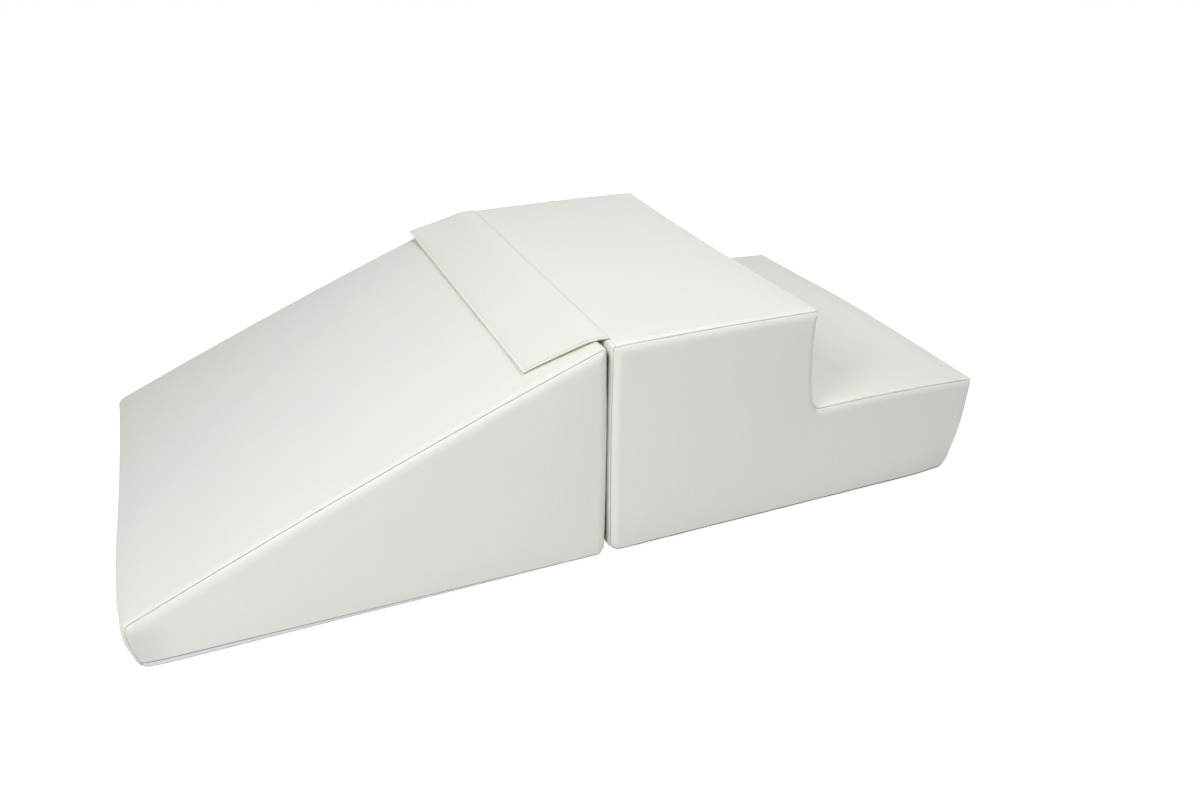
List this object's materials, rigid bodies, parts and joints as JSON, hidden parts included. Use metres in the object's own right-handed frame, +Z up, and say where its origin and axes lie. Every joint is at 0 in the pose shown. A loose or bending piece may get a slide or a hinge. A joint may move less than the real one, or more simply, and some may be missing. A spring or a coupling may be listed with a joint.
{
  "type": "soft play climber",
  "caption": "Padded slide wedge and two-level step block for toddlers, joined end to end by a sewn flap over the top of the ramp.",
  "frame": {"origin": "on the floor, midway along the length and the width of the two blocks set end to end", "axes": "+X along the climber from the toe of the slide to the low step, +Y across it away from the side shown in the picture, +Z up"},
  "size_m": [1.1625, 0.5994, 0.3029],
  "materials": {
    "vinyl": "smooth white coated vinyl, satin",
    "vinyl_lining": "smooth white coated vinyl, satin",
    "base_fabric": "grip-coated woven polyester, matt",
    "foam": "cut open-cell foam, matt",
    "zip_cloth": "woven polyester tape",
    "zip_nylon": "moulded nylon",
    "hook_and_loop": "hook and loop pile"
  },
  "bodies": {
    "slide_block": {"slide_foam_core": "foam", "slide_side_panel_near": "vinyl", "slide_side_panel_far": "vinyl", "slide_ramp_panel": "vinyl", "slide_base_panel_near": "base_fabric", "slide_base_panel_far": "base_fabric", "slide_zip_tape_near": "zip_cloth", "slide_zip_tape_far": "zip_cloth", "slide_zip_coil_near": "zip_nylon", "slide_zip_coil_far": "zip_nylon", "slide_zip_bottom_stop": "zip_nylon", "slide_zip_top_stop_near": "zip_nylon", "slide_zip_top_stop_far": "zip_nylon", "slide_loop_tape": "hook_and_loop"},
    "step_block": {"step_foam_core": "foam", "step_side_panel_near": "vinyl", "step_side_panel_far": "vinyl", "step_top_panel": "vinyl", "step_back_panel": "vinyl", "step_base_panel_near": "base_fabric", "step_base_panel_far": "base_fabric", "step_zip_tape_near": "zip_cloth", "step_zip_tape_far": "zip_cloth", "step_zip_coil_near": "zip_nylon", "step_zip_coil_far": "zip_nylon", "step_zip_bottom_stop": "zip_nylon", "step_zip_top_stop_near": "zip_nylon", "step_zip_top_stop_far": "zip_nylon"},
    "flap": {"flap_top_skin": "vinyl", "flap_lining": "vinyl_lining", "flap_hook_tape": "hook_and_loop"},
    "slide_zip_slider": {"slide_zip_slider": "zip_nylon"},
    "step_zip_slider": {"step_zip_slider": "zip_nylon"}
  },
  "joints": [
    {"name": "step_lift_off", "type": "slide", "parent": "slide_block", "child": "step_block", "axis": [0, 0, 1], "range_m": [0, 0.35]},
    {"name": "flap_hinge", "type": "hinge", "parent": "step_block", "child": "flap", "pos_m": [0.00798, 0, 0.30037], "axis": [0, 1, 0], "range_deg": [0, 165]},
    {"name": "slide_zip_pull", "type": "slide", "parent": "slide_block", "child": "slide_zip_slider", "axis": [-1, 0, 0], "range_m": [0, 0.467]},
    {"name": "step_zip_pull", "type": "slide", "parent": "step_block", "child": "step_zip_slider", "axis": [-1, 0, 0], "range_m": [0, 0.464]}
  ]
}
